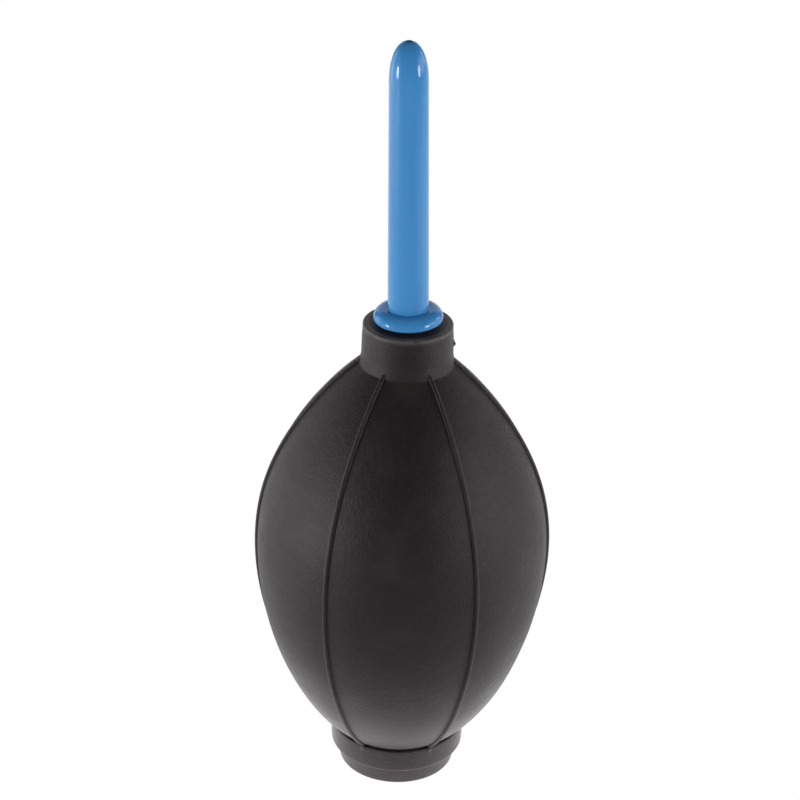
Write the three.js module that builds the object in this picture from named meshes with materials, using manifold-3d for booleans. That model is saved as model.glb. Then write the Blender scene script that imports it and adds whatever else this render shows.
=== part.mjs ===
// Dust blower bulb: a rubber squeeze bulb with a push-in nozzle and an inlet valve in its foot.
// Millimetres, +Z up along the bulb's axis, origin at the centre of the foot's underside.
import * as THREE from "three";
import { mergeVertices } from "three/addons/utils/BufferGeometryUtils.js";
import Module from "manifold-3d";

// Belly of the bulb
const bellyRadius = 26.6; // smooth wall at its widest, without the ribs
const bellyHeight = 46.5; // height of the widest section
const shoulderHeight = 84.0; // where the belly meets the collar
const shoulderSlope = 41.5; // degrees below level, where the belly leaves the collar
const soleSlope = 38.0; // degrees above level, where the belly leaves the foot ring
const upperPull = 16.1; // handle lengths of the two curves that shape the belly
const shoulderPull = 13.0;
const lowerPull = 14.1;
const solePull = 7.8;
const wallThickness = 2.5;

// Moulded ribs
const ribCount = 6;
const ribWidth = 1.3;
const ribHeight = 0.5;
const ribRoot = 1.2; // how far a rib runs into the collar and the foot ring

// Collar
const collarRadius = 8.05; // at its top
const collarFlare = 0.4; // how much wider the collar is at its foot
const flareHeight = 0.8; // height over which most of that flare goes
const collarTaper = 0.1; // what is left of it above that height
const collarLength = 7.8;
const collarLip = 0.9; // rounding of its outer top edge
const neckRadius = 4.5; // hole through the collar

// Foot
const footRadius = 10.6; // lower band, which stands on the table
const footStep = 3.8; // height of the lower band
const ringRadius = 12.3; // upper band
const ringTop = 8.4;
const ringLedge = 0.8; // flat step between the ring's edge and the belly
const footRounding = 0.8;
const ringRounding = 0.4;

// Patches of wall that go in under the thumb and the fingers
const pressMargin = 13.5; // distance kept from the shoulder and from the foot ring
const pressInset = 0.7; // distance kept from the ribs beside a patch
const pressGap = 0.3;

// Nozzle
const nozzleLength = 49.0; // from the flange's top to the tip
const tubeRootRadius = 3.65;
const tubeTipRadius = 3.38;
const tipLength = 7.3; // length of the rounded tip
const tubeBore = 1.7;
const outletRadius = 0.6; // air hole in the tip
const outletLength = 3.0;
const flangeRadius = 6.2;
const flangeThickness = 2.5;
const flangeRimHeight = 1.0; // where the flange is widest, above its underside
const flangeUndercut = 0.6; // rounding under its rim
const grooveDepth = 0.4; // groove around the foot of the tube
const grooveWidth = 0.35;
const spigotLength = 13.0;
const gripRings = 3;
const gripHeight = 0.2;
const gripPitch = 2.6;
const gripRise = 0.65; // length of the slope under each grip ring
const gripFall = 0.35; // length of the slope above it

// Inlet valve
const seatFlangeRadius = 7.0;
const seatFlangeThickness = 1.3;
const seatRecess = 0.5; // how far the seat's underside stays above the table
const barrelRadius = 5.0;
const barrelWall = 1.0;
const barrelLength = 8.4; // from the seat's underside to the barrel's top
const inletRadius = 1.6;
const floorThickness = 2.4;
const lipHeight = 0.4; // raised ring that the disc closes on
const lipWidth = 0.6;
const discThickness = 0.8;
const discLift = 1.2;
const cageThickness = 1.2;
const cageRim = 0.8;
const cageBar = 1.1;

// Clearances
const touchGap = 0.3; // between pieces that rest on or fit into each other
const discClearance = 0.8; // around the disc, where the air goes past it
const liftGap = 0.2; // left over the disc at the top of its lift

// Sizes that follow from those above
const collarTop = shoulderHeight + collarLength;
const spigotRadius = neckRadius - touchGap - gripHeight;
const flangeBottom = collarTop + touchGap;
const flangeTop = flangeBottom + flangeThickness;
const tipTop = flangeTop + nozzleLength;
const chamberRadius = barrelRadius - barrelWall;
const seatFloor = seatRecess + floorThickness;
const discBottom = seatFloor + lipHeight + touchGap;
const cageBottom = discBottom + discThickness + discLift + liftGap;
const ribSpacing = 360 / ribCount;

// How finely round shapes are cut
const turnSegments = 48;
const smallTurnSegments = 32;
const outerBellySteps = 9; // for each of the belly's two curves
const innerBellySteps = 7;
const cornerSteps = 3;
const lipSteps = 4;
const tipSteps = 8;
const ribSteps = 26;
const ribSectionSteps = 4;
const pressSteps = 20;

const wasm = await Module();
wasm.setup();

const degrees = THREE.MathUtils.degToRad;
const at = (radius, height) => new THREE.Vector2(radius, height);
const rubber = { color: 0x2b2829, roughness: 0.55, metalness: 0 };
const bluePlastic = { color: 0x3f7fb2, roughness: 0.25, metalness: 0 };
const greyPlastic = { color: 0x55585a, roughness: 0.4, metalness: 0 };
const silicone = { color: 0xb9b2a6, roughness: 0.6, metalness: 0 };

// A closed geometry as a solid that can be joined and cut.
function toSolid(geometry) {
  const plain = geometry.clone();
  plain.deleteAttribute("normal");
  plain.deleteAttribute("uv");
  const merged = mergeVertices(plain);
  const corners = merged.index.array;
  const kept = [];
  for (let i = 0; i < corners.length; i += 3) {
    const triangle = corners.slice(i, i + 3);
    if (new Set(triangle).size === 3) kept.push(...triangle);
  }
  return new wasm.Manifold(
    new wasm.Mesh({
      numProp: 3,
      vertProperties: new Float32Array(merged.attributes.position.array),
      triVerts: new Uint32Array(kept),
    }),
  );
}

// A solid as a geometry again.
function toGeometry(solid) {
  const mesh = solid.getMesh();
  const geometry = new THREE.BufferGeometry();
  geometry.setAttribute("position", new THREE.BufferAttribute(mesh.vertProperties, 3));
  geometry.setIndex(new THREE.BufferAttribute(mesh.triVerts, 1));
  geometry.computeVertexNormals();
  return geometry;
}

// Turns an outline of (radius, height) points about the Z axis.
function turned(outline, segments) {
  const geometry = new THREE.LatheGeometry(outline, segments);
  geometry.rotateX(Math.PI / 2);
  return geometry;
}

// Extrudes a flat (x, z) outline from the XZ plane towards -Y.
function towardsFront(shape, depth, curveSegments) {
  const geometry = new THREE.ExtrudeGeometry(shape, { depth, curveSegments, bevelEnabled: false });
  geometry.rotateX(Math.PI / 2);
  return geometry;
}

// The belly's meridian, the given distance inside the outer surface, as control points
// from the foot ring to the shoulder: one curve up to the widest section and one above it.
function meridian(inset) {
  const shrink = (bellyRadius - inset) / bellyRadius;
  const sole = degrees(soleSlope);
  const shoulder = degrees(shoulderSlope);
  const start = new THREE.Vector2(ringRadius - ringLedge, ringTop)
    .add(new THREE.Vector2(-Math.sin(sole), Math.cos(sole)).multiplyScalar(inset));
  const end = new THREE.Vector2(collarRadius + collarFlare, shoulderHeight)
    .add(new THREE.Vector2(-Math.sin(shoulder), -Math.cos(shoulder)).multiplyScalar(inset));
  const soleHandle = new THREE.Vector2(Math.cos(sole), Math.sin(sole)).multiplyScalar(solePull);
  const shoulderHandle = new THREE.Vector2(Math.cos(shoulder), -Math.sin(shoulder))
    .multiplyScalar(shoulderPull);
  const widest = new THREE.Vector2(bellyRadius - inset, bellyHeight);
  return {
    lower: [
      start,
      start.clone().addScaledVector(soleHandle, shrink),
      new THREE.Vector2(widest.x, bellyHeight - lowerPull * shrink),
      widest,
    ],
    upper: [
      widest,
      new THREE.Vector2(widest.x, bellyHeight + upperPull * shrink),
      end.clone().addScaledVector(shoulderHandle, shrink),
      end,
    ],
  };
}

// Points of a curve through two meridian parts, from the foot to the shoulder.
function meridianPoints(inset, steps) {
  const { lower, upper } = meridian(inset);
  const lowerPoints = new THREE.CubicBezierCurve(...lower).getPoints(steps);
  const upperPoints = new THREE.CubicBezierCurve(...upper).getPoints(steps);
  return [...lowerPoints, ...upperPoints.slice(1)];
}

// Quarter-round corner from one point to another, bulging towards the corner point.
function rounded(from, corner, to, steps) {
  return new THREE.QuadraticBezierCurve(from, corner, to).getPoints(steps);
}

// Body of the bulb: foot, belly and collar around the hollow, the neck hole and the valve hole.
function bulbBody() {
  const inner = meridianPoints(wallThickness, innerBellySteps).reverse();
  const holeRadius = barrelRadius + touchGap;
  const recessRadius = seatFlangeRadius + touchGap;
  const recessTop = seatRecess + seatFlangeThickness + touchGap;
  const floorTop = inner[inner.length - 1].y;
  const footEdge = rounded(
    at(footRadius - footRounding, 0),
    at(footRadius, 0),
    at(footRadius, footRounding),
    cornerSteps,
  );
  const collarEdge = rounded(
    at(collarRadius, collarTop - collarLip),
    at(collarRadius, collarTop),
    at(collarRadius - collarLip, collarTop),
    lipSteps,
  );
  const outline = [
    at(recessRadius, 0),
    ...footEdge,
    at(footRadius, footStep),
    at(ringRadius - ringRounding, footStep),
    at(ringRadius, footStep + ringRounding),
    at(ringRadius, ringTop - ringRounding),
    at(ringRadius - ringRounding, ringTop),
    ...meridianPoints(0, outerBellySteps),
    at(collarRadius + collarTaper, shoulderHeight + flareHeight),
    ...collarEdge,
    at(neckRadius, collarTop),
    at(neckRadius, inner[0].y),
    ...inner,
    at(holeRadius, floorTop),
    at(holeRadius, recessTop),
    at(recessRadius, recessTop),
    at(recessRadius, 0),
  ];
  return toSolid(turned(outline, turnSegments));
}

// One rib: a round bead sunk into the belly's wall along a meridian, at the given angle.
function rib(angle) {
  const { lower, upper } = meridian(ribWidth / 2 - ribHeight);
  const raise = (point) => new THREE.Vector3(point.x, 0, point.y);
  const rootOf = (end, handle) =>
    end.clone().add(end.clone().sub(handle).setLength(ribRoot));
  const path = new THREE.CurvePath();
  path.add(new THREE.LineCurve3(raise(rootOf(lower[0], lower[1])), raise(lower[0])));
  path.add(new THREE.CubicBezierCurve3(...lower.map(raise)));
  path.add(new THREE.CubicBezierCurve3(...upper.map(raise)));
  path.add(new THREE.LineCurve3(raise(upper[3]), raise(rootOf(upper[3], upper[2]))));
  const section = new THREE.Shape().absarc(0, 0, ribWidth / 2, 0, Math.PI * 2);
  const geometry = new THREE.ExtrudeGeometry(section, {
    steps: ribSteps,
    curveSegments: ribSectionSteps,
    extrudePath: path,
    bevelEnabled: false,
  });
  geometry.rotateZ(degrees(angle));
  return toSolid(geometry);
}

// Prism through the front wall in the outline of the pressed patch, grown by a clearance.
function pressPrism(clearance) {
  const top = shoulderHeight - pressMargin;
  const bottom = ringTop + pressMargin;
  const ribOffset = bellyRadius * Math.sin(degrees(ribSpacing / 2));
  const halfWidth = ribOffset - ribWidth / 2 - pressInset;
  const outline = new THREE.Shape().absellipse(
    0,
    (top + bottom) / 2,
    halfWidth + clearance,
    (top - bottom) / 2 + clearance,
    0,
    Math.PI * 2,
  );
  return towardsFront(outline, bellyRadius + ribHeight + wallThickness, pressSteps);
}

// The bulb as three solids: the shell and the two patches of wall that are pressed in.
function bulbPieces() {
  let whole = bulbBody();
  for (let k = 0; k < ribCount; k += 1) {
    whole = whole.add(rib(k * ribSpacing));
  }
  const thumbPrism = toSolid(pressPrism(0));
  const fingerPrism = toSolid(pressPrism(0).rotateZ(Math.PI));
  const thumbWindow = toSolid(pressPrism(pressGap));
  const fingerWindow = toSolid(pressPrism(pressGap).rotateZ(Math.PI));
  return {
    shell: whole.subtract(thumbWindow).subtract(fingerWindow),
    thumbWall: whole.intersect(thumbPrism),
    fingerWall: whole.intersect(fingerPrism),
  };
}

// Nozzle: spigot with grip rings, flange, tapered tube and rounded tip around one air bore.
function nozzleSolid() {
  const outline = [];
  const spigotBottom = flangeBottom - spigotLength;
  const firstRing = spigotBottom + gripPitch / 2;
  outline.push(at(tubeBore, spigotBottom), at(spigotRadius - gripHeight, spigotBottom));
  for (let k = 0; k < gripRings; k += 1) {
    const height = firstRing + k * gripPitch;
    outline.push(at(spigotRadius, height - gripRise));
    outline.push(at(spigotRadius + gripHeight, height));
    outline.push(at(spigotRadius, height + gripFall));
  }
  outline.push(at(spigotRadius, flangeBottom));
  const rimHeight = flangeBottom + flangeRimHeight;
  outline.push(
    ...rounded(
      at(flangeRadius - flangeUndercut, flangeBottom),
      at(flangeRadius, flangeBottom),
      at(flangeRadius, rimHeight),
      cornerSteps,
    ),
  );
  const grooveEdge = tubeRootRadius + grooveWidth;
  outline.push(
    ...rounded(
      at(flangeRadius, rimHeight),
      at(flangeRadius, flangeTop),
      at(grooveEdge, flangeTop),
      lipSteps,
    ).slice(1),
  );
  outline.push(at(grooveEdge, flangeTop - grooveDepth), at(tubeRootRadius, flangeTop - grooveDepth));
  // The tip is a quarter ellipse, cut off where the outlet hole passes through it.
  const cutAngle = Math.acos(outletRadius / tubeTipRadius);
  const tipBase = tipTop - tipLength;
  for (let k = 0; k <= tipSteps; k += 1) {
    const angle = (cutAngle * k) / tipSteps;
    outline.push(at(tubeTipRadius * Math.cos(angle), tipBase + tipLength * Math.sin(angle)));
  }
  const outletBottom = tipTop - outletLength;
  outline.push(at(outletRadius, outletBottom), at(tubeBore, outletBottom - tubeBore));
  outline.push(at(tubeBore, spigotBottom));
  return turned(outline, smallTurnSegments);
}

// Valve seat: a plug with a flange under the foot, a barrel, and a floor with the inlet hole.
function valveSeat() {
  const flangeTopHeight = seatRecess + seatFlangeThickness;
  const outline = [
    at(inletRadius, seatRecess),
    at(seatFlangeRadius, seatRecess),
    at(seatFlangeRadius, flangeTopHeight),
    at(barrelRadius, flangeTopHeight),
    at(barrelRadius, seatRecess + barrelLength),
    at(chamberRadius, seatRecess + barrelLength),
    at(chamberRadius, seatFloor),
    at(inletRadius + lipWidth, seatFloor),
    at(inletRadius + lipWidth, seatFloor + lipHeight),
    at(inletRadius, seatFloor + lipHeight),
    at(inletRadius, seatRecess),
  ];
  return turned(outline, smallTurnSegments);
}

// Valve disc: a soft washer with a shallow dome on its upper side.
function valveDisc() {
  const rimRadius = chamberRadius - discClearance;
  const outline = [
    at(0, discBottom),
    at(rimRadius, discBottom),
    at(rimRadius, discBottom + discThickness / 2),
    at(rimRadius / 2, discBottom + discThickness),
    at(0, discBottom + discThickness),
  ];
  return turned(outline, smallTurnSegments);
}

// Valve cage: a rim pushed into the barrel with a cross of bars that stops the disc.
function valveCage() {
  const rimOuter = chamberRadius - touchGap;
  const rimInner = rimOuter - cageRim;
  const rim = toSolid(
    turned(
      [
        at(rimInner, cageBottom),
        at(rimOuter, cageBottom),
        at(rimOuter, cageBottom + cageThickness),
        at(rimInner, cageBottom + cageThickness),
        at(rimInner, cageBottom),
      ],
      smallTurnSegments,
    ),
  );
  const barLength = rimInner + rimOuter;
  const bar = new THREE.BoxGeometry(barLength, cageBar, cageThickness);
  bar.translate(0, 0, cageBottom + cageThickness / 2);
  const crossBar = bar.clone().rotateZ(Math.PI / 2);
  return toGeometry(rim.add(toSolid(bar)).add(toSolid(crossBar)));
}

// A named mesh with its own material.
function piece(name, geometry, finish) {
  const mesh = new THREE.Mesh(geometry, new THREE.MeshStandardMaterial(finish));
  mesh.name = name;
  return mesh;
}

const group = new THREE.Group();
const bulb = bulbPieces();
group.add(piece("bulb_shell", toGeometry(bulb.shell), rubber));
group.add(piece("thumb_wall", toGeometry(bulb.thumbWall), rubber));
group.add(piece("finger_wall", toGeometry(bulb.fingerWall), rubber));
group.add(piece("nozzle", nozzleSolid(), bluePlastic));
group.add(piece("valve_seat", valveSeat(), greyPlastic));
group.add(piece("valve_disc", valveDisc(), silicone));
group.add(piece("valve_cage", valveCage(), greyPlastic));

export default group;
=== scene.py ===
import math

import bpy
import numpy as np
from mathutils import Matrix, Vector


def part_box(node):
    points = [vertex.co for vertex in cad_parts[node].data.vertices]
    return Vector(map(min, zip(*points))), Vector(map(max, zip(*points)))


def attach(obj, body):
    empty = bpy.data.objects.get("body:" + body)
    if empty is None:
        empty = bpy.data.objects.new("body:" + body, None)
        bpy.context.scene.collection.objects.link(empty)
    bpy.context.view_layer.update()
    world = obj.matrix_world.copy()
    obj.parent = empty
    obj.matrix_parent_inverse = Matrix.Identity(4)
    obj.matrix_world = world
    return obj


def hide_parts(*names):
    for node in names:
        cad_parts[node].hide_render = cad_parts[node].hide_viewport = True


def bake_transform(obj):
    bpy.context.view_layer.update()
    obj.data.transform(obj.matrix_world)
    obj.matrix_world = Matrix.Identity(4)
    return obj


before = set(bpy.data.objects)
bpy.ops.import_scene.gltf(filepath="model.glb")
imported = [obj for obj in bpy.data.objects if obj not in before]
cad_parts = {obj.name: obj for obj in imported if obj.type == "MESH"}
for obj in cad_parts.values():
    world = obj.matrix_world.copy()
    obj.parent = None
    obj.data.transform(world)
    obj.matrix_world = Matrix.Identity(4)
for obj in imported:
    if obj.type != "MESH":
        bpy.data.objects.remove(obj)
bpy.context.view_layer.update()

mm = 0.001
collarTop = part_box("bulb_shell")[1].z / mm
nozzleLow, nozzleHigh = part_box("nozzle")
seatLow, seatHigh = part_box("valve_seat")

# Lengths in the dictionaries below are in millimetres and angles in degrees; in the studio's, places and
# sizes are in metres and only the lens is in millimetres.


# Mesh helpers. A piece is a grid of points: rows follow an outline, columns go round or across.

def meshPiece(name, points, faces, material, sharpAngle=None):
    mesh = bpy.data.meshes.new(name)
    mesh.from_pydata(points.tolist(), [], faces)
    mesh.validate()
    mesh.materials.append(material)
    mesh.shade_smooth()
    if sharpAngle is not None:
        mesh.set_sharp_from_angle(angle=math.radians(sharpAngle))
    piece = bpy.data.objects.new(name, mesh)
    bpy.context.scene.collection.objects.link(piece)
    return piece


def gridFaces(rows, columns, closeRows, closeColumns):
    # Four neighbours make one face; a closed direction also joins the last line to the first.
    row = np.arange(rows if closeRows else rows - 1)
    column = np.arange(columns if closeColumns else columns - 1)
    rowIndex, columnIndex = (a.ravel() for a in np.meshgrid(row, column, indexing="ij"))
    nextRow = (rowIndex + 1) % rows
    nextColumn = (columnIndex + 1) % columns
    corners = [
        rowIndex * columns + columnIndex,
        rowIndex * columns + nextColumn,
        nextRow * columns + nextColumn,
        nextRow * columns + columnIndex,
    ]
    return np.stack(corners, axis=1).tolist()


def turned(outline, columns):
    # Radius, height and angle of every point of an outline that is turned about the Z axis.
    angle = np.linspace(0, 2 * math.pi, columns, endpoint=False)[None]
    return outline[:, 0:1], outline[:, 1:2], angle


def bezier(start, startPull, endPull, end, steps):
    # Cubic curve: each point is the four control points weighed by (1-t)^3, 3t(1-t)^2, 3t^2(1-t), t^3.
    t = np.linspace(0, 1, steps)[:, None]
    control = [np.array(p, float) for p in (start, startPull, endPull, end)]
    weights = [(1 - t) ** 3, 3 * t * (1 - t) ** 2, 3 * t ** 2 * (1 - t), t ** 3]
    return sum(w * p for w, p in zip(weights, control))


def softCorners(corners, step, arcSteps=7):
    # An outline through (radius, height, rounding) corners: each corner becomes an arc that starts and
    # ends where its rounding touches the two sides, and the straight stretches are cut into even steps.
    flat = np.array(corners, float)
    points = [flat[:1, :2]]
    for before, here, after in zip(flat[:-2], flat[1:-1], flat[2:]):
        toBefore = before[:2] - here[:2]
        toAfter = after[:2] - here[:2]
        toBefore /= np.linalg.norm(toBefore)
        toAfter /= np.linalg.norm(toAfter)
        halfAngle = math.acos(np.clip(toBefore @ toAfter, -1, 1)) / 2
        if here[2] == 0 or halfAngle > math.radians(89):
            arc = here[None, :2]
        else:
            cut = here[2] / math.tan(halfAngle)
            middle = (toBefore + toAfter) / np.linalg.norm(toBefore + toAfter)
            centre = here[:2] + middle * here[2] / math.sin(halfAngle)
            first = here[:2] + toBefore * cut - centre
            last = here[:2] + toAfter * cut - centre
            turn = math.atan2(first[0] * last[1] - first[1] * last[0], first @ last)
            angles = np.linspace(0, turn, arcSteps)[:, None]
            quarter = np.array([-first[1], first[0]])
            arc = centre + first * np.cos(angles) + quarter * np.sin(angles)
        points.append(arc)
    points.append(flat[-1:, :2])
    return resampled(np.vstack(points), step)


def resampled(points, step):
    # Adds points on every stretch that is longer than the step.
    lengths = np.linalg.norm(np.diff(points, axis=0), axis=1)
    parts = [
        np.linspace(a, b, max(1, math.ceil(length / step - 1e-6)), endpoint=False)
        for a, b, length in zip(points[:-1], points[1:], lengths)
        if length > 1e-9
    ]
    return np.vstack(parts + [points[-1:]])


def outlineNormals(points, reach):
    # Side direction of an outline, averaged over the given reach so that it turns softly at a crease.
    steps = np.diff(points, axis=0)
    lengths = np.linalg.norm(steps, axis=1)
    along = np.concatenate([[0], np.cumsum(lengths)])
    middles = (along[1:] + along[:-1]) / 2
    weights = np.exp(-((along[:, None] - middles[None]) / reach) ** 2) * lengths
    tangents = weights @ (steps / np.maximum(lengths, 1e-9)[:, None])
    tangents /= np.linalg.norm(tangents, axis=1)[:, None]
    return np.stack([tangents[:, 1], -tangents[:, 0]], axis=1), along


def smoothStep(x, low, high):
    t = np.clip((x - low) / (high - low), 0, 1)
    return t * t * (3 - 2 * t)


# Material helpers

def linearColour(hexColour):
    # sRGB hex to the linear colour that the shader works in.
    channels = [int(hexColour[i:i + 2], 16) / 255 for i in (1, 3, 5)]
    linear = [c / 12.92 if c <= 0.04045 else ((c + 0.055) / 1.055) ** 2.4 for c in channels]
    return (*linear, 1.0)


def addNode(tree, kind, settings=None, links=None):
    # Adds one node, gives it its options and input values, and plugs other sockets into it.
    made = tree.nodes.new(kind)
    for name, value in (settings or {}).items():
        if isinstance(name, str) and hasattr(made, name):
            setattr(made, name, value)
        else:
            made.inputs[name].default_value = value
    for name, source in (links or {}).items():
        tree.links.new(source, made.inputs[name])
    return made


def newMaterial(name, settings):
    # A material with one Principled shader, whose plain values are set on its own sockets.
    material = bpy.data.materials.new(name)
    material.use_nodes = True
    tree = material.node_tree
    shader = tree.nodes["Principled BSDF"]
    for socket, value in settings.items():
        shader.inputs[socket].default_value = value
    place = addNode(tree, "ShaderNodeTexCoord").outputs["Object"]
    return material, tree, shader, place


def perMetre(millimetres):
    # Texture scale that repeats a pattern about once in the given size.
    return 1 / (millimetres * mm)


rubberLook = {
    "black": "#130b0e",
    "haze": "#352b2a",
    # The next colour is a little wear on rib crests and a painted highlight along the collar's lip.
    "rubbedAndHighlit": "#6a6362",
    "dust": "#a09a94",
    "grain": 0.3,
    "pebble": 1.1,
    "blotch": 13.0,
    "flowLine": 0.7,
    "flowSquash": 0.1,
    "flowDepth": 0.06,
    "pebbleDepth": 0.1,
    "grainDepth": 0.1,
    "polish": 0.08,
    "speck": 5.0,
    "speckless": 0.8,
    "lintShare": 0.15,
}


def mouldedRubber():
    # Black rubber, compression moulded in a blasted steel mould: a deep, slightly warm black with a soft
    # uneven sheen, faint flow lines round the bulb, hazy handling marks and a few specks of lint. The rib
    # crests are lightened a little for wear, and the collar's lip much more as a painted highlight.
    look = rubberLook
    material, tree, shader, place = newMaterial("moulded_black_rubber", {
        "IOR": 1.5,
        "Metallic": 0.0,
        "Specular IOR Level": 0.5,
        "Specular Tint": (1.0, 0.91, 0.94, 1.0),
        "Sheen Weight": 0.06,
        "Sheen Roughness": 0.25,
    })
    blotch = addNode(tree, "ShaderNodeTexNoise", {
        "Scale": perMetre(look["blotch"]), "Detail": 5.0, "Roughness": 0.6}, {"Vector": place})
    squash = addNode(tree, "ShaderNodeMapping", {
        "Scale": (look["flowSquash"], look["flowSquash"], 1.0)}, {"Vector": place})
    flow = addNode(tree, "ShaderNodeTexNoise", {
        "Scale": perMetre(look["flowLine"]), "Detail": 4.0, "Roughness": 0.65, "Distortion": 0.4},
        {"Vector": squash.outputs["Vector"]})
    # The mould's blasted grain, drawn about three times as coarse as it is so that it shows.
    grain = addNode(tree, "ShaderNodeTexNoise", {
        "Scale": perMetre(look["grain"]), "Detail": 2.0, "Roughness": 0.6}, {"Vector": place})
    pebble = addNode(tree, "ShaderNodeTexNoise", {
        "Scale": perMetre(look["pebble"]), "Detail": 3.0, "Roughness": 0.6}, {"Vector": place})
    crestWearAndLipHighlight = addNode(tree, "ShaderNodeAttribute", {"attribute_name": "crestWearAndLipHighlight"}).outputs["Fac"]
    worn = addNode(tree, "ShaderNodeMapRange", {
        "From Min": 0.5, "From Max": 0.75, "To Min": 0.0, "To Max": 0.5},
        {"Value": blotch.outputs["Fac"]})
    bloom = addNode(tree, "ShaderNodeMapRange", {
        "From Min": 0.54, "From Max": 0.8, "To Min": 0.0, "To Max": 0.6},
        {"Value": grain.outputs["Fac"]})
    pale = addNode(tree, "ShaderNodeMath", {"operation": "MAXIMUM"},
                   {0: worn.outputs["Result"], 1: bloom.outputs["Result"]})
    hazy = addNode(tree, "ShaderNodeMix", {
        "data_type": "RGBA", 6: linearColour(look["black"]), 7: linearColour(look["haze"])},
        {0: pale.outputs["Value"]})
    # Mottled lightening: a little wear on the rib crests and a painted highlight along the collar's lip.
    wearAndHighlightShare = addNode(tree, "ShaderNodeMath", {"operation": "MULTIPLY"},
                      {0: crestWearAndLipHighlight, 1: pebble.outputs["Fac"]})
    colour = addNode(tree, "ShaderNodeMix", {"data_type": "RGBA", 7: linearColour(look["rubbedAndHighlit"])},
                     {0: wearAndHighlightShare.outputs["Value"], 6: hazy.outputs[2]})
    # Lint: small cells of which only a few are dusty, each a dot far smaller than its cell.
    cells = addNode(tree, "ShaderNodeTexVoronoi", {
        "Scale": perMetre(look["speck"]), "Randomness": 1.0}, {"Vector": place})
    dot = addNode(tree, "ShaderNodeMapRange", {
        "From Min": 0.03, "From Max": 0.06, "To Min": 1.0, "To Max": 0.0},
        {"Value": cells.outputs["Distance"]})
    chosen = addNode(tree, "ShaderNodeSeparateColor", {}, {"Color": cells.outputs["Color"]})
    dusty = addNode(tree, "ShaderNodeMath", {"operation": "GREATER_THAN", 1: look["speckless"]},
                    {0: chosen.outputs["Red"]})
    lint = addNode(tree, "ShaderNodeMath", {"operation": "MULTIPLY"},
                   {0: dot.outputs["Result"], 1: dusty.outputs["Value"]})
    faintLint = addNode(tree, "ShaderNodeMath", {"operation": "MULTIPLY", 1: look["lintShare"]},
                        {0: lint.outputs["Value"]})
    dusted = addNode(tree, "ShaderNodeMix", {"data_type": "RGBA", 7: linearColour(look["dust"])},
                     {0: faintLint.outputs["Value"], 6: colour.outputs[2]})
    tree.links.new(dusted.outputs[2], shader.inputs["Base Color"])
    # Sheen: the rib crests and the collar's lip are smoother, blotches and flow lines break the highlight
    # up.
    broad = addNode(tree, "ShaderNodeMapRange", {
        "From Min": 0.3, "From Max": 0.7, "To Min": 0.50, "To Max": 0.60},
        {"Value": blotch.outputs["Fac"]})
    fine = addNode(tree, "ShaderNodeMapRange", {
        "From Min": 0.3, "From Max": 0.7, "To Min": -0.03, "To Max": 0.03},
        {"Value": flow.outputs["Fac"]})
    rough = addNode(tree, "ShaderNodeMath", {"operation": "ADD"},
                    {0: broad.outputs["Result"], 1: fine.outputs["Result"]})
    polish = addNode(tree, "ShaderNodeMath", {"operation": "MULTIPLY_ADD", 1: -look["polish"]},
                     {0: crestWearAndLipHighlight, 2: rough.outputs["Value"]})
    tree.links.new(polish.outputs["Value"], shader.inputs["Roughness"])
    flowBump = addNode(tree, "ShaderNodeBump", {"Strength": 0.05, "Distance": look["flowDepth"] * mm},
                       {"Height": flow.outputs["Fac"]})
    pebbleBump = addNode(tree, "ShaderNodeBump", {"Strength": 0.6, "Distance": look["pebbleDepth"] * mm},
                         {"Height": pebble.outputs["Fac"], "Normal": flowBump.outputs["Normal"]})
    grainBump = addNode(tree, "ShaderNodeBump", {"Strength": 0.9, "Distance": look["grainDepth"] * mm},
                        {"Height": grain.outputs["Fac"], "Normal": pebbleBump.outputs["Normal"]})
    tree.links.new(grainBump.outputs["Normal"], shader.inputs["Normal"])
    return material


nozzleLook = {
    "blue": "#4592d0",
    "blueDeep": "#3d89c8",
    "streak": 3.0,
    "streakSquash": 0.06,
    "streakDepth": 0.04,
    "ripple": 2.2,
    "rippleDepth": 0.06,
    "milkDepth": 0.8,
}


def mouldedBluePlastic():
    # Blue polypropylene, injection moulded in a polished tool: a clean glossy skin over a slightly
    # milky body, with faint draw lines along the tube.
    look = nozzleLook
    material, tree, shader, place = newMaterial("moulded_blue_plastic", {
        "IOR": 1.49,
        "Metallic": 0.0,
        "Specular IOR Level": 0.35,
        "Subsurface Weight": 0.1,
        "Subsurface Radius": (0.5, 0.8, 1.0),
        "Subsurface Scale": look["milkDepth"] * mm,
    })
    stretch = addNode(tree, "ShaderNodeMapping", {
        "Scale": (1.0, 1.0, look["streakSquash"])}, {"Vector": place})
    streak = addNode(tree, "ShaderNodeTexNoise", {
        "Scale": perMetre(look["streak"]), "Detail": 3.0, "Roughness": 0.5},
        {"Vector": stretch.outputs["Vector"]})
    ripple = addNode(tree, "ShaderNodeTexNoise", {
        "Scale": perMetre(look["ripple"]), "Detail": 1.0}, {"Vector": place})
    colour = addNode(tree, "ShaderNodeMix", {
        "data_type": "RGBA", 6: linearColour(look["blueDeep"]), 7: linearColour(look["blue"])},
        {0: streak.outputs["Fac"]})
    tree.links.new(colour.outputs[2], shader.inputs["Base Color"])
    rough = addNode(tree, "ShaderNodeMapRange", {
        "From Min": 0.3, "From Max": 0.7, "To Min": 0.10, "To Max": 0.16},
        {"Value": ripple.outputs["Fac"]})
    tree.links.new(rough.outputs["Result"], shader.inputs["Roughness"])
    streakBump = addNode(tree, "ShaderNodeBump", {"Strength": 0.12, "Distance": look["streakDepth"] * mm},
                         {"Height": streak.outputs["Fac"]})
    rippleBump = addNode(tree, "ShaderNodeBump", {"Strength": 0.08, "Distance": look["rippleDepth"] * mm},
                         {"Height": ripple.outputs["Fac"], "Normal": streakBump.outputs["Normal"]})
    tree.links.new(rippleBump.outputs["Normal"], shader.inputs["Normal"])
    return material


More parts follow.
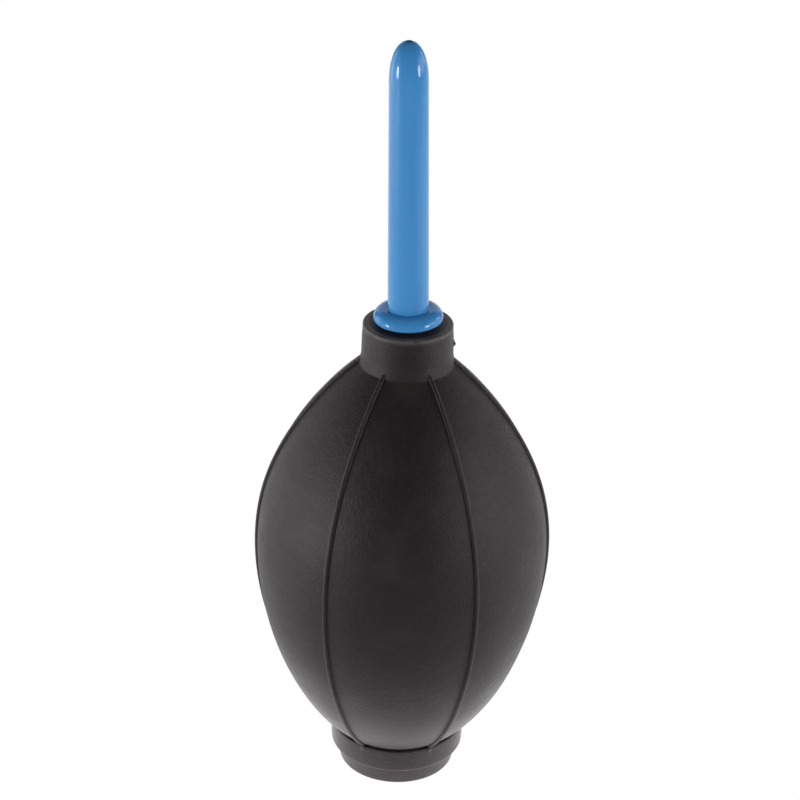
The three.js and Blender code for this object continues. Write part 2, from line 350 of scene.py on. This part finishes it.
valveLook = {
    "plastic": "#3c3f42",
    "plasticPale": "#4a4d50",
    "plasticCloud": 4.0,
    "erosion": 0.25,
    "silicone": "#b4aea2",
    "siliconePale": "#c6c1b7",
    "siliconeCloud": 1.5,
    "siliconeMilk": 0.8,
    "grainDepth": 0.03,
}


def sparkErodedPlastic():
    # Dark grey ABS moulded in a spark-eroded tool: an even satin with a fine pebbled grain.
    look = valveLook
    material, tree, shader, place = newMaterial("moulded_grey_plastic", {
        "IOR": 1.53, "Metallic": 0.0})
    pebble = addNode(tree, "ShaderNodeTexVoronoi", {
        "Scale": perMetre(look["erosion"]), "feature": "SMOOTH_F1"}, {"Vector": place})
    cloud = addNode(tree, "ShaderNodeTexNoise", {
        "Scale": perMetre(look["plasticCloud"]), "Detail": 3.0}, {"Vector": place})
    colour = addNode(tree, "ShaderNodeMix", {
        "data_type": "RGBA", 6: linearColour(look["plastic"]), 7: linearColour(look["plasticPale"])},
        {0: cloud.outputs["Fac"]})
    tree.links.new(colour.outputs[2], shader.inputs["Base Color"])
    rough = addNode(tree, "ShaderNodeMapRange", {"To Min": 0.38, "To Max": 0.52},
                    {"Value": cloud.outputs["Fac"]})
    tree.links.new(rough.outputs["Result"], shader.inputs["Roughness"])
    bump = addNode(tree, "ShaderNodeBump", {"Strength": 0.25, "Distance": look["grainDepth"] * mm},
                   {"Height": pebble.outputs["Distance"]})
    tree.links.new(bump.outputs["Normal"], shader.inputs["Normal"])
    return material


def pressedSilicone():
    # Translucent silicone sheet, pressed and punched: soft, matt and a little cloudy.
    look = valveLook
    material, tree, shader, place = newMaterial("pressed_silicone", {
        "IOR": 1.41,
        "Metallic": 0.0,
        "Subsurface Weight": 0.3,
        "Subsurface Scale": look["siliconeMilk"] * mm,
    })
    cloud = addNode(tree, "ShaderNodeTexNoise", {
        "Scale": perMetre(look["siliconeCloud"]), "Detail": 4.0}, {"Vector": place})
    colour = addNode(tree, "ShaderNodeMix", {
        "data_type": "RGBA", 6: linearColour(look["silicone"]),
        7: linearColour(look["siliconePale"])}, {0: cloud.outputs["Fac"]})
    tree.links.new(colour.outputs[2], shader.inputs["Base Color"])
    rough = addNode(tree, "ShaderNodeMapRange", {"To Min": 0.5, "To Max": 0.65},
                    {"Value": cloud.outputs["Fac"]})
    tree.links.new(rough.outputs["Result"], shader.inputs["Roughness"])
    bump = addNode(tree, "ShaderNodeBump", {"Strength": 0.15, "Distance": look["grainDepth"] * mm},
                   {"Height": cloud.outputs["Fac"]})
    tree.links.new(bump.outputs["Normal"], shader.inputs["Normal"])
    return material


# The rubber bulb

bulb = {
    "bellyRadius": 26.75,
    "bellyHeight": 46.5,
    "shoulderHeight": 84.0,
    "shoulderSlope": 41.5,
    "soleSlope": 38.0,
    "upperPull": 16.5,
    "shoulderPull": 13.0,
    "lowerPull": 16.1,
    "solePull": 9.4,
    "wall": 2.5,
    "collarRadius": 8.05,
    "collarFlare": 0.4,
    "collarLip": 0.4,
    "neckRadius": 4.5,
    "footRadius": 10.9,
    "footStep": 3.8,
    "ringRadius": 12.5,
    "ringTop": 8.4,
    "ringLedge": 0.7,
    "seatGap": 0.3,
    "barrelRadius": 5.0,
    "seatFlange": 1.3,
    "flareHeight": 2.0,
    "outerSteps": 90,
    "innerSteps": 26,
    "rowStep": 0.55,
    "recessStep": 2.0,
    "innerStep": 3.0,
    "ribs": 6,
    "ribHalfWidth": 0.42,
    "ribHeight": 0.5,
    "ribFillet": 0.1,
    "filletShare": 0.12,
    "soleFade": 1.5,
    "ledgeFade": (-0.8, 0.2),
    "shoulderFade": (1.6, 0.6),
    "footFade": (3.5, 4.5),
    "lipFade": (1.0, 1.8),
    "flashHeight": 0.06,
    "flashHalfWidth": 0.09,
    "crumb": 0.7,
    "crumbHeight": 87.9,
    "crumbHalfWidth": 0.35,
    "crumbHalfTallness": 0.3,
    "waves": 0.05,
    "smallWaves": 0.02,
    "waveFade": (12, 16),
    "flashColumns": (0.5, 1.0, 1.7),
    "crownColumns": (25, 38, 50, 62, 73, 83, 90),
    "filletColumns": (0.5, 1.0, 2.0, 3.2),
    "goreColumns": 22,
    "squeezeStart": 12.6,
    "crestWear": 0.08,
    # The collar's lip gets a painted highlight and the rib crests a little wear.
    "lipHighlightBelow": 0.2,
    "lipHighlightReach": 0.45,
    "lipHighlightInside": 1.2,
}


def bellyCurve(inset, steps):
    # Meridian of the belly in millimetres, the given distance inside the outer wall: one cubic from
    # the foot ring to the widest section and one from there to the collar.
    b = bulb
    shrink = (b["bellyRadius"] - inset) / b["bellyRadius"]
    sole, shoulder = math.radians(b["soleSlope"]), math.radians(b["shoulderSlope"])
    start = np.array([
        b["ringRadius"] - b["ringLedge"] - inset * math.sin(sole),
        b["ringTop"] + inset * math.cos(sole)])
    end = np.array([
        b["collarRadius"] + b["collarFlare"] - inset * math.sin(shoulder),
        b["shoulderHeight"] - inset * math.cos(shoulder)])
    widest = np.array([b["bellyRadius"] - inset, b["bellyHeight"]])
    lower = bezier(
        start,
        start + np.array([math.cos(sole), math.sin(sole)]) * b["solePull"] * shrink,
        widest - [0, b["lowerPull"] * shrink],
        widest, steps)
    upper = bezier(
        widest,
        widest + [0, b["upperPull"] * shrink],
        end + np.array([math.cos(shoulder), -math.sin(shoulder)]) * b["shoulderPull"] * shrink,
        end, steps)
    return np.vstack([lower, upper[1:]])


def bulbOutline():
    # The closed outline of the wall, in millimetres, and which of its points are on the outer belly. It
    # runs along the foot, up the outside, down the neck and back down the inside. Each corner is its
    # radius, its height and its rounding.
    b = bulb
    outerBelly = bellyCurve(0, b["outerSteps"])
    innerBelly = bellyCurve(b["wall"], b["innerSteps"])[::-1]
    recessRadius = seatHigh.x / mm + b["seatGap"]
    recessTop = seatLow.z / mm + b["seatFlange"] + b["seatGap"]
    holeRadius = b["barrelRadius"] + b["seatGap"]
    foot = softCorners([
        (recessRadius, recessTop, 0),
        (recessRadius, 0, 0.25),
        (b["footRadius"], 0, 0.5),
        (b["footRadius"], b["footStep"], 0.25),
        (b["ringRadius"], b["footStep"], 0.45),
        (b["ringRadius"], b["ringTop"], 0.35),
        (*outerBelly[0], 0.1),
        (*outerBelly[3], 0),
    ], b["rowStep"])
    collar = softCorners([
        (*outerBelly[-3], 0),
        (*outerBelly[-1], 0.7),
        (b["collarRadius"] + b["collarFlare"] / 4, b["shoulderHeight"] + b["flareHeight"], 1.5),
        (b["collarRadius"], collarTop, b["collarLip"]),
        (b["neckRadius"], collarTop, 0.35),
        (b["neckRadius"], innerBelly[0][1], 0.5),
        (*innerBelly[0], 0),
    ], b["rowStep"])
    inside = softCorners([
        (*innerBelly[-1], 0),
        (holeRadius, innerBelly[-1][1], 0.3),
        (holeRadius, recessTop, 0),
        (recessRadius, recessTop, 0),
    ], b["recessStep"], 4)
    middle = resampled(outerBelly[3:-2], b["rowStep"])
    inner = resampled(innerBelly[1:-1], b["innerStep"])
    outline = np.vstack([foot[:-1], middle[:-1], collar[:-1], inner, inside[:-1]])
    isBelly = np.zeros(len(outline))
    isBelly[len(foot) - 1:len(foot) + len(middle)] = 1
    return outline, isBelly


def columnPlan():
    # Columns of one half of the bulb, from one side rib round to the other. Each column belongs to a
    # rib, at a fixed distance from its crest, or to a gore, at a share of the way to the next rib. Those
    # on a rib are evenly spread round its crown, and spaced by the widths of the flash and the fillet.
    b = bulb
    half, fillet = b["ribHalfWidth"], b["ribFillet"]
    flash = b["flashHalfWidth"] * np.array(b["flashColumns"])
    crown = half * np.sin(np.radians(b["crownColumns"]))
    base = half + fillet * np.array(b["filletColumns"])
    side = np.concatenate([flash, crown, base])
    ribs, offsets, shares = [], [], []
    halfRibs = b["ribs"] // 2
    for k in range(halfRibs + 1):
        across = np.concatenate([-side[::-1], [0], side])
        if k == 0:
            across = across[len(side):]
        if k == halfRibs:
            across = across[:len(side) + 1]
        ribs += [k] * len(across)
        offsets += list(across)
        shares += [0.0] * len(across)
        if k < halfRibs:
            count = b["goreColumns"]
            ribs += [k] * count
            offsets += [side[-1]] * count
            shares += list((np.arange(count) + 1) / (count + 1))
    return np.array(ribs), np.array(offsets), np.array(shares), side[-1]


def ribBead(across):
    # Height of a rib over the wall: a half ellipse across it with a small fillet on each side.
    b = bulb
    half = b["ribHalfWidth"]
    crown = np.sqrt(np.clip(1 - (across / half) ** 2, 0, None))
    foot = np.exp(-(np.clip(np.abs(across) - half, 0, None) / b["ribFillet"]) ** 2)
    return b["ribHeight"] * ((1 - b["filletShare"]) * crown + b["filletShare"] * foot)


def halfBulb(name, startAngle, material):
    # Radius and height come from the outline; the angle at each column is that of its rib, plus the
    # column's distance from the crest over the radius, plus its share of the gore. The ribs, the mould's
    # parting flash and a slight unevenness then move each point along the outline's soft normal.
    b = bulb
    outline, isBelly = bulbOutline()
    ribIndex, offset, share, ribEdge = columnPlan()
    normals, along = outlineNormals(outline, 0.5)
    radius, height = outline[:, 0:1], outline[:, 1:2]
    spacing = 2 * math.pi / b["ribs"]
    gore = np.maximum(spacing - 2 * ribEdge / radius, 0)
    angle = startAngle + ribIndex * spacing + offset / radius + share * gore
    # The side ribs, which the halves are cut through, fade out above the foot ring's ledge; the others
    # run on over it. Every fade is a stretch along the outline.
    bellyStart, bellyEnd = along[np.flatnonzero(isBelly)[[0, -1]]]
    sole = bellyStart - b["soleFade"]
    fromSole = smoothStep(along, sole, bellyStart)[:, None]
    fromLedge = smoothStep(along, *(sole + edge for edge in b["ledgeFade"]))[:, None]
    cutRib = ((ribIndex == 0) | (ribIndex == b["ribs"] // 2))[None]
    rampIn = np.where(cutRib, fromSole, fromLedge)
    rampOut = smoothStep(along, *(bellyEnd + edge for edge in b["shoulderFade"]))[:, None]
    ribShare = rampIn * rampOut
    onRib = (share == 0)[None]
    raised = ribShare * np.where(onRib, ribBead(offset)[None], 0)
    lip = bellyEnd + collarTop - b["shoulderHeight"]
    toLip = smoothStep(along, *(lip - edge for edge in b["lipFade"]))
    outerRows = (smoothStep(along, *b["footFade"]) * toLip)[:, None]
    seam = np.abs(np.sin(angle - startAngle)) * radius
    flash = b["flashHeight"] * np.exp(-(seam / b["flashHalfWidth"]) ** 2) * outerRows
    # One thicker crumb of flash is left on the collar's right side.
    crumbAcross = seam / b["crumbHalfWidth"]
    crumbUp = (height - b["crumbHeight"]) / b["crumbHalfTallness"]
    crumb = b["crumb"] * np.exp(-crumbAcross ** 2 - crumbUp ** 2) * (np.cos(angle) > 0)
    flash = flash + crumb * outerRows
    # The unevenness is long, shallow waves that fade out towards the foot and the collar.
    x, y = radius * np.cos(angle), radius * np.sin(angle)
    uneven = b["waves"] * np.sin(x / 6.1 + height / 9.7) * np.sin(y / 7.3 - height / 12.1 + 1.3)
    uneven = uneven + b["smallWaves"] * np.sin(height / 2.9 + x / 4.4) * np.sin(y / 3.7 + 0.4)
    lift = raised + flash + uneven * fromSole * rampOut * smoothStep(radius, *b["waveFade"])
    moved = radius + normals[:, 0:1] * lift
    points = np.stack([
        moved * np.cos(angle),
        moved * np.sin(angle),
        height + normals[:, 1:2] * lift,
    ], axis=2)
    rows, columns = angle.shape
    faces = gridFaces(rows, columns, True, False)
    firstCap = [row * columns for row in range(rows)]
    lastCap = [row * columns + columns - 1 for row in range(rows)]
    faces += [firstCap[::-1], lastCap]
    piece = meshPiece(name, points.reshape(-1, 3) * mm, faces, material, 50)
    # How much each point is lightened and smoothed: rib crests a little for wear, and the collar's edge
    # most, as a painted highlight along its lip.
    crown = np.clip(1 - (offset / b["ribHalfWidth"]) ** 2, 0, 1)[None]
    crest = ribShare * np.where(onRib, crown, 0)
    fromEdge = (height - collarTop + b["lipHighlightBelow"]) / b["lipHighlightReach"]
    lipHighlight = np.exp(-fromEdge ** 2) * (radius > b["collarRadius"] - b["lipHighlightInside"])
    rubbedAndHighlit = np.clip(b["crestWear"] * crest + lipHighlight + 0 * angle, 0, 1)
    crestWearAndLipHighlight = piece.data.attributes.new("crestWearAndLipHighlight", "FLOAT", "POINT")
    crestWearAndLipHighlight.data.foreach_set("value", rubbedAndHighlit.ravel().astype(np.float32))
    return piece


# The nozzle

nozzle = {
    "tubeRoot": 3.65,
    "tubeTip": 3.38,
    "tipLength": 7.3,
    "bore": 1.7,
    "outlet": 0.35,
    "chamfer": 0.2,
    "outletLength": 3.0,
    "boreMouth": 0.6,
    "collarGap": 0.3,
    "flangeThickness": 2.5,
    "undercut": 0.35,
    "rimHeight": 0.75,
    "crestRadius": 4.3,
    "tipPower": 2.25,
    "grooveDepth": 0.08,
    "grooveWidth": 0.3,
    "spigotRadius": 4.0,
    "gripHeight": 0.2,
    "gripPitch": 2.6,
    "gripRings": 3,
    "seamHeight": 0.02,
    "seamHalfWidth": 0.12,
    "columns": 96,
    "lean": 1.35,
}


def nozzlePiece(material):
    # One outline: up the outside of the spigot with its grip rings, round the flange, up the tapering
    # tube, over the tip as a quarter ellipse, and back down the air bore.
    n = nozzle
    bottom, top = nozzleLow.z / mm, nozzleHigh.z / mm
    flangeRadius = nozzleHigh.x / mm
    flangeBottom = collarTop + n["collarGap"]
    flangeTop = flangeBottom + n["flangeThickness"]
    corners = [(n["bore"], bottom, 0.2), (n["spigotRadius"] - n["gripHeight"], bottom, 0.3)]
    for k in range(n["gripRings"]):
        ring = bottom + n["gripPitch"] * (k + 0.5)
        corners += [
            (n["spigotRadius"], ring - n["gripPitch"] / 4, 0.2),
            (n["spigotRadius"] + n["gripHeight"], ring, 0.1),
            (n["spigotRadius"], ring + n["gripPitch"] / 8, 0.1),
        ]
    corners += [
        (n["spigotRadius"], flangeBottom, 0.15),
        (flangeRadius, flangeBottom + n["undercut"], 0.3),
        (flangeRadius, flangeBottom + n["rimHeight"], 0),
    ]
    under = softCorners(corners, 1.5, 9)
    # The flange rises from its rim to a crest as a quarter of an ellipse, then sinks to a groove.
    swing = np.linspace(0, math.pi / 2, 20)
    dome = np.stack([
        n["crestRadius"] + (flangeRadius - n["crestRadius"]) * np.cos(swing),
        flangeBottom + n["rimHeight"] + (n["flangeThickness"] - n["rimHeight"]) * np.sin(swing),
    ], axis=1)
    groove = softCorners([
        (*dome[-2], 0),
        (*dome[-1], 0),
        (n["tubeRoot"] + n["grooveWidth"], flangeTop - n["grooveDepth"], 0.2),
        (n["tubeRoot"], flangeTop - n["grooveDepth"], 0.1),
        (n["tubeRoot"] - 0.01, flangeTop + 1.0, 0),
    ], 0.3, 7)
    body = np.vstack([under, dome[1:-1], groove[1:]])
    # The tip is a quarter of a slightly squared ellipse: (r/a)^p + (h/b)^p = 1, cut off at the outlet.
    power = n["tipPower"]
    mouth = n["outlet"] + n["chamfer"]
    cut = math.acos((mouth / n["tubeTip"]) ** (power / 2))
    angles = np.linspace(0, cut, 30)
    tipBase = top - n["tipLength"] * math.sin(cut) ** (2 / power)
    tip = np.stack([
        n["tubeTip"] * np.cos(angles) ** (2 / power),
        tipBase + n["tipLength"] * np.sin(angles) ** (2 / power),
    ], axis=1)
    tube = resampled(np.vstack([body[-1:], tip[:1]]), 2.0)
    outlet = top - n["outletLength"]
    bore = np.array([
        [n["outlet"], top - n["chamfer"]],
        [n["outlet"], outlet],
        [n["bore"], outlet - n["bore"]],
        [n["bore"], bottom + n["boreMouth"]],
    ])
    outline = np.vstack([body[1:], tube[1:], tip[1:], bore])
    radius, height, angle = turned(outline, n["columns"])
    # The two mould halves leave a hair-thin raised line down both sides of the outer surface.
    side = np.abs(np.sin(angle)) * radius
    outside = (radius > n["tubeTip"] * 0.9) & (height > flangeTop)
    moved = radius + n["seamHeight"] * np.exp(-(side / n["seamHalfWidth"]) ** 2) * outside
    points = np.stack([moved * np.cos(angle), moved * np.sin(angle), height + 0 * angle], axis=2)
    # The soft neck lets the nozzle lean a little to the left, about the underside of its flange.
    sine, cosine = math.sin(math.radians(n["lean"])), math.cos(math.radians(n["lean"]))
    turn = np.array([[cosine, 0, -sine], [0, 1, 0], [sine, 0, cosine]])
    pivot = np.array([0, 0, flangeBottom])
    points = (points - pivot) @ turn.T + pivot
    faces = gridFaces(len(outline), n["columns"], True, True)
    return meshPiece("nozzle_tube", points.reshape(-1, 3) * mm, faces, material, 40)


# The inlet valve's seat, seen from below

seat = {
    "chamber": 4.0,
    "inlet": 1.6,
    "inletEdge": 1.5,
    "floor": 2.4,
    "lip": 0.4,
    "lipWidth": 0.6,
    "sunkInner": 2.6,
    "sunkOuter": 3.6,
    "sunkSlope": 0.2,
    "sunkDepth": 0.25,
    "notchPlace": 5.2,
    "notchReach": 0.55,
    "notchDepth": 0.45,
    "columns": 120,
}


def seatPiece(material):
    # Outline of the plug: underside with a sunk ring round the inlet, flange, barrel, chamber and the
    # raised lip that the disc closes on. Two spanner notches are pressed into the underside.
    s = seat
    bottom, top = seatLow.z / mm, seatHigh.z / mm
    flangeRadius, flangeTop = seatHigh.x / mm, bottom + bulb["seatFlange"]
    barrel = bulb["barrelRadius"]
    outline = softCorners([
        (s["inlet"], bottom + s["inletEdge"], 0),
        (s["inlet"], bottom, 0.25),
        (s["sunkInner"], bottom, 0.1),
        (s["sunkInner"] + s["sunkSlope"], bottom + s["sunkDepth"], 0.1),
        (s["sunkOuter"] - s["sunkSlope"], bottom + s["sunkDepth"], 0.1),
        (s["sunkOuter"], bottom, 0.1),
        (flangeRadius, bottom, 0.35),
        (flangeRadius, flangeTop, 0.2),
        (barrel, flangeTop, 0.15),
        (barrel, top, 0.25),
        (s["chamber"], top, 0.25),
        (s["chamber"], bottom + s["floor"], 0.2),
        (s["inlet"] + s["lipWidth"], bottom + s["floor"], 0.1),
        (s["inlet"] + s["lipWidth"], bottom + s["floor"] + s["lip"], 0.12),
        (s["inlet"], bottom + s["floor"] + s["lip"], 0.12),
        (s["inlet"], bottom + s["inletEdge"], 0),
    ], 0.35, 5)[:-1]
    radius, height, angle = turned(outline, s["columns"])
    x, y = radius * np.cos(angle), radius * np.sin(angle)
    # Each notch is a round dimple whose depth falls off smoothly with the distance from its centre.
    distances = [(x - side * s["notchPlace"]) ** 2 + y ** 2 for side in (-1, 1)]
    notch = sum(np.exp(-(distance / s["notchReach"]) ** 2) for distance in distances)
    under = height < bottom + 0.02
    points = np.stack([x, y, height + s["notchDepth"] * notch * under], axis=2)
    faces = gridFaces(len(outline), s["columns"], True, True)
    return meshPiece("valve_seat_plug", points.reshape(-1, 3) * mm, faces, material, 40)


# The studio: a lit white table with soft boxes standing round it, dim towards the camera

studio = {
    "cameraPlace": (-0.0014, -0.3778, 0.2681),
    "pitch": 26.92,
    "yaw": -0.05,
    "roll": 1.57,
    "lens": 106.05,
    "ringRadius": 0.42,
    "airStrength": 0.037,
    "tableGlow": 0.61,
    "glowFrom": -0.05,
    "glowTo": -0.02,
    "poolGlow": 1.8,
    "poolInner": 0.026,
    "poolOuter": 0.051,
    "poolBehind": 0.02,
    "tableReach": 3.0,
    "tableHeight": -0.00015,
    "backdropHeight": -0.0001,
    "domeRadius": 2.5,
    "domeRows": 24,
    "domeColumns": 64,
}

# Boxes on a ring round the bulb: degrees clockwise from behind it; height; width; tallness; watts.
ringBoxes = {
    "left_back": (-65, 0.13, 0.20, 0.26, 0.26),
    "left_side": (-95, 0.14, 0.20, 0.26, 0.13),
    "left_front": (-122, 0.13, 0.20, 0.28, 0.12),
    "right_back": (65, 0.19, 0.20, 0.16, 0.22),
    "right_side": (95, 0.18, 0.20, 0.18, 0.28),
    "right_front": (122, 0.20, 0.20, 0.15, 0.05),
}

# Boxes overhead and behind: place; aim; width; tallness; watts.
highBoxes = {
    "over_top": ((0, 0, 0.8), (0, 0, 0), 0.6, 0.4, 0.25),
    "over_front": ((0, -0.5, 0.7), (0, 0, 0.05), 0.6, 0.4, 0.08),
    "over_back": ((0, 0.45, 0.8), (0, 0.15, 0), 0.9, 0.5, 0.09),
    "back_wall": ((0, 0.6, 0.25), (0, 0, 0.1), 0.8, 0.4, 0.85),
    "left_lamp": ((-0.39, -0.157, 0.09), (0, 0, 0.1), 0.09, 0.09, 0.6),
    "right_lamp": ((0.377, -0.184, 0.125), (0, 0, 0.1), 0.10, 0.09, 0.46),
}

# Polarised boxes, which leave no reflection on the surface: place; aim; width; tallness; watts.
fillBoxes = {
    "front_fill": ((0, -0.55, 0.19), (0, 0, 0.13), 0.9, 0.24, 1.2),
}


def placeCamera():
    # The camera looks along +Y, turned by yaw, tipped down by pitch and rolled about its own axis.
    s = studio
    yaw, pitch, roll = (math.radians(s[k]) for k in ("yaw", "pitch", "roll"))
    ahead = np.array([-math.sin(yaw), math.cos(yaw), 0])
    right = np.array([math.cos(yaw), math.sin(yaw), 0])
    upright = np.array([0, 0, 1])
    forward = ahead * math.cos(pitch) - upright * math.sin(pitch)
    up = ahead * math.sin(pitch) + upright * math.cos(pitch)
    across = right * math.cos(roll) + up * math.sin(roll)
    above = -right * math.sin(roll) + up * math.cos(roll)
    data = bpy.data.cameras.new("camera")
    data.lens = s["lens"]
    data.clip_start, data.clip_end = 0.01, 20
    camera = bpy.data.objects.new("camera", data)
    turn = np.eye(4)
    turn[:3, 0], turn[:3, 1], turn[:3, 2] = across, above, -forward
    turn[:3, 3] = s["cameraPlace"]
    camera.matrix_world = Matrix(turn.tolist())
    bpy.context.scene.collection.objects.link(camera)
    bpy.context.scene.camera = camera


def softBox(name, place, aim, width, tallness, watts, reflected=True):
    data = bpy.data.lights.new(name, "AREA")
    data.shape = "RECTANGLE"
    data.size, data.size_y = width, tallness
    data.energy = watts
    light = bpy.data.objects.new(name, data)
    light.location = place
    light.rotation_mode = "QUATERNION"
    light.rotation_quaternion = (Vector(aim) - Vector(place)).to_track_quat("-Z", "Y")
    light.visible_camera = False
    light.visible_glossy = reflected
    bpy.context.scene.collection.objects.link(light)


def litTable():
    # Opal acrylic lit from below: white, brightest right under the bulb, fading out towards the camera.
    s = studio
    material, tree, shader, place = newMaterial("opal_table_acrylic", {
        "Base Color": linearColour("#f7f7f6"),
        "Roughness": 0.6,
        "Specular IOR Level": 0.2,
        "Emission Color": linearColour("#ffffff"),
    })
    depth = addNode(tree, "ShaderNodeSeparateXYZ", {}, {"Vector": place})
    glow = addNode(tree, "ShaderNodeMapRange", {
        "interpolation_type": "SMOOTHSTEP",
        "From Min": s["glowFrom"], "From Max": s["glowTo"], "To Min": 0.0, "To Max": s["tableGlow"]},
        {"Value": depth.outputs["Y"]})
    beside = addNode(tree, "ShaderNodeVectorMath", {
        "operation": "ADD", 1: (0, -s["poolBehind"], 0)}, {0: place})
    reach = addNode(tree, "ShaderNodeVectorMath", {"operation": "LENGTH"},
                    {0: beside.outputs["Vector"]})
    pool = addNode(tree, "ShaderNodeMapRange", {
        "interpolation_type": "SMOOTHSTEP",
        "From Min": s["poolInner"], "From Max": s["poolOuter"], "To Min": s["poolGlow"], "To Max": 0.0},
        {"Value": reach.outputs["Value"]})
    total = addNode(tree, "ShaderNodeMath", {"operation": "ADD"},
                    {0: glow.outputs["Result"], 1: pool.outputs["Result"]})
    tree.links.new(total.outputs["Value"], shader.inputs["Emission Strength"])
    return material


def whiteBackdrop():
    # A white floor that turns up into a dome: a disc, then a quarter circle from its edge to the top,
    # turned about Z. Only the camera sees it, so every view has the same plain ground.
    s = studio
    material = newMaterial("white_backdrop_paper", {
        "Base Color": linearColour("#000000"),
        "Specular IOR Level": 0.0,
        "Emission Color": linearColour("#ffffff"),
        "Emission Strength": 1.0,
    })[0]
    rise = np.radians(np.linspace(0, 90, s["domeRows"]))
    curve = s["domeRadius"] * np.stack([np.cos(rise), np.sin(rise)], axis=1)
    outline = np.vstack([[[0, 0]], curve]) + [0, s["backdropHeight"]]
    radius, height, angle = turned(outline, s["domeColumns"])
    points = np.stack([radius * np.cos(angle), radius * np.sin(angle), height + 0 * angle], axis=2)
    faces = gridFaces(len(outline), s["domeColumns"], False, True)
    dome = meshPiece("white_backdrop", points.reshape(-1, 3), faces, material)
    dome.visible_diffuse = False
    dome.visible_glossy = False
    dome.visible_transmission = False
    dome.visible_shadow = False


def buildStudio():
    s = studio
    corners = np.array([[-1, -1, 0], [1, -1, 0], [1, 1, 0], [-1, 1, 0]]) * s["tableReach"]
    corners = corners + [0, 0, s["tableHeight"]]
    meshPiece("table_top", corners, [[0, 1, 2, 3]], litTable())
    whiteBackdrop()
    for name, (turn, height, width, tallness, watts) in ringBoxes.items():
        angle = math.radians(turn)
        place = (s["ringRadius"] * math.sin(angle), s["ringRadius"] * math.cos(angle), height)
        softBox(name, place, (0, 0, height), width, tallness, watts)
    for name, box in highBoxes.items():
        softBox(name, *box)
    for name, box in fillBoxes.items():
        softBox(name, *box, reflected=False)
    world = bpy.data.worlds.new("studio_air")
    world.use_nodes = True
    air = world.node_tree.nodes["Background"]
    air.inputs["Color"].default_value = linearColour("#ffffff")
    air.inputs["Strength"].default_value = s["airStrength"]
    bpy.context.scene.world = world
    bpy.context.scene.view_settings.view_transform = "Standard"


print("stage: camera and studio")
placeCamera()
buildStudio()

print("stage: materials")
rubber = mouldedRubber()
bluePlastic = mouldedBluePlastic()
greyPlastic = sparkErodedPlastic()
silicone = pressedSilicone()

print("stage: bulb")
frontHalf = halfBulb("bulb_front_half", math.pi, rubber)
backHalf = halfBulb("bulb_back_half", 0.0, rubber)
for piece, body, side, nodes in (
    (frontHalf, "thumb_side", -1, ("bulb_shell", "thumb_wall")),
    (backHalf, "finger_side", 1, ("bulb_shell", "finger_wall")),
):
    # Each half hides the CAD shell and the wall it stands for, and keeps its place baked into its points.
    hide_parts(*nodes)
    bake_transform(piece)

print("stage: nozzle")
tube = nozzlePiece(bluePlastic)
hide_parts("nozzle")
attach(tube, "nozzle")

print("stage: valve")
plug = seatPiece(greyPlastic)
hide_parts("valve_seat")
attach(plug, "bulb")
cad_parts["valve_cage"].data.materials[0] = greyPlastic
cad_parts["valve_disc"].data.materials[0] = silicone
